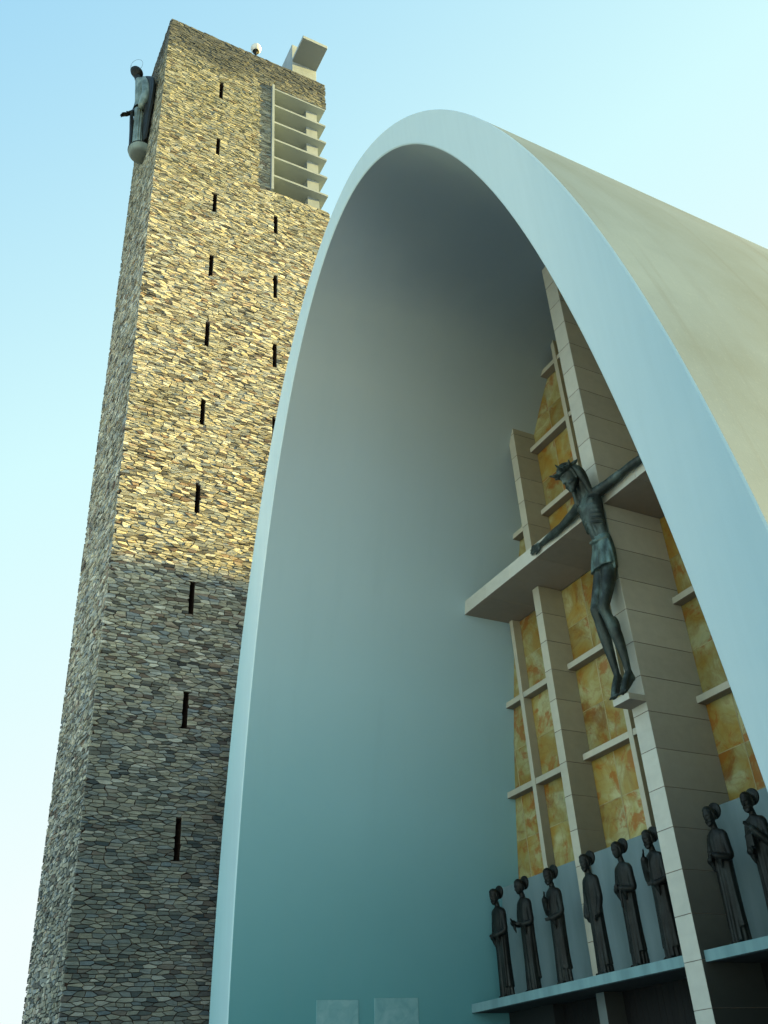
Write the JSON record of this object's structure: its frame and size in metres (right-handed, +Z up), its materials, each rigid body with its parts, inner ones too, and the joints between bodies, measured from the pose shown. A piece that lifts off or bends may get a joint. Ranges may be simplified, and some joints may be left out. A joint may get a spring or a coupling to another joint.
{
  "type": "modern church with bell tower",
  "caption": "Tall rounded concrete vault with an open porch, cross, amber window wall, canopy statues and a separate slender stone bell tower.",
  "frame": {"origin": "on the ground, at the middle of the cross upright's foot, under the porch", "axes": "+Z up; -Y out of the porch, the way the church faces; +Y along the nave to the rear; +X to the visitor's right on entering, so the tower stands on the -X side"},
  "size_m": [20.17, 33.5956, 39.6],
  "materials": {
    "painted_concrete": "smooth painted concrete",
    "floor_stone": "honed stone slabs",
    "limestone": "sawn limestone facing with fine joints",
    "canopy_concrete": "smooth painted concrete",
    "wall_plaster": "fine plaster",
    "amber_glass": "veined amber panes",
    "bronze": "dark patinated bronze",
    "rubble_stone": "thin split ledge stones with deep joints",
    "cast_concrete": "board-marked cream concrete",
    "timber": "dark upright boards",
    "lamp_metal": "painted metal"
  },
  "bodies": {
    "root": {"nave_vault": "painted_concrete", "nave_floor": "floor_stone", "cross_arm_left": "limestone", "canopy_left": "canopy_concrete", "gallery_wall_left": "wall_plaster", "side_pier_left": "wall_plaster", "door_post_left": "limestone", "inner_door_panel_left": "timber", "outer_door_panel_left": "timber", "lower_window_frame_left": "limestone", "upper_window_frame_left": "limestone", "lower_amber_glass_left": "amber_glass", "upper_amber_glass_left": "amber_glass", "cross_arm_right": "limestone", "canopy_right": "canopy_concrete", "gallery_wall_right": "wall_plaster", "side_pier_right": "wall_plaster", "door_post_right": "limestone", "inner_door_panel_right": "timber", "outer_door_panel_right": "timber", "lower_window_frame_right": "limestone", "upper_window_frame_right": "limestone", "lower_amber_glass_right": "amber_glass", "upper_amber_glass_right": "amber_glass", "cross_upright": "limestone", "foot_block": "limestone", "crucified_figure": "bronze", "saint_statue_01": "bronze", "saint_statue_02": "bronze", "saint_statue_03": "bronze", "saint_statue_04": "bronze", "saint_statue_05": "bronze", "saint_statue_06": "bronze", "saint_statue_07": "bronze", "saint_statue_08": "bronze", "saint_statue_09": "bronze", "saint_statue_10": "bronze", "saint_statue_11": "bronze", "saint_statue_12": "bronze", "rear_wall": "wall_plaster", "rear_window_frame": "limestone", "rear_amber_glass": "amber_glass", "tower_front_wall": "rubble_stone", "tower_back_wall": "rubble_stone", "tower_east_wall": "rubble_stone", "tower_west_wall": "rubble_stone", "belfry_floor": "cast_concrete", "tower_roof": "cast_concrete", "belfry_screen": "cast_concrete", "hoist_house": "cast_concrete", "statue_corbel": "cast_concrete", "parapet_lamp": "lamp_metal", "tower_statue": "bronze"}
  },
  "joints": []
}
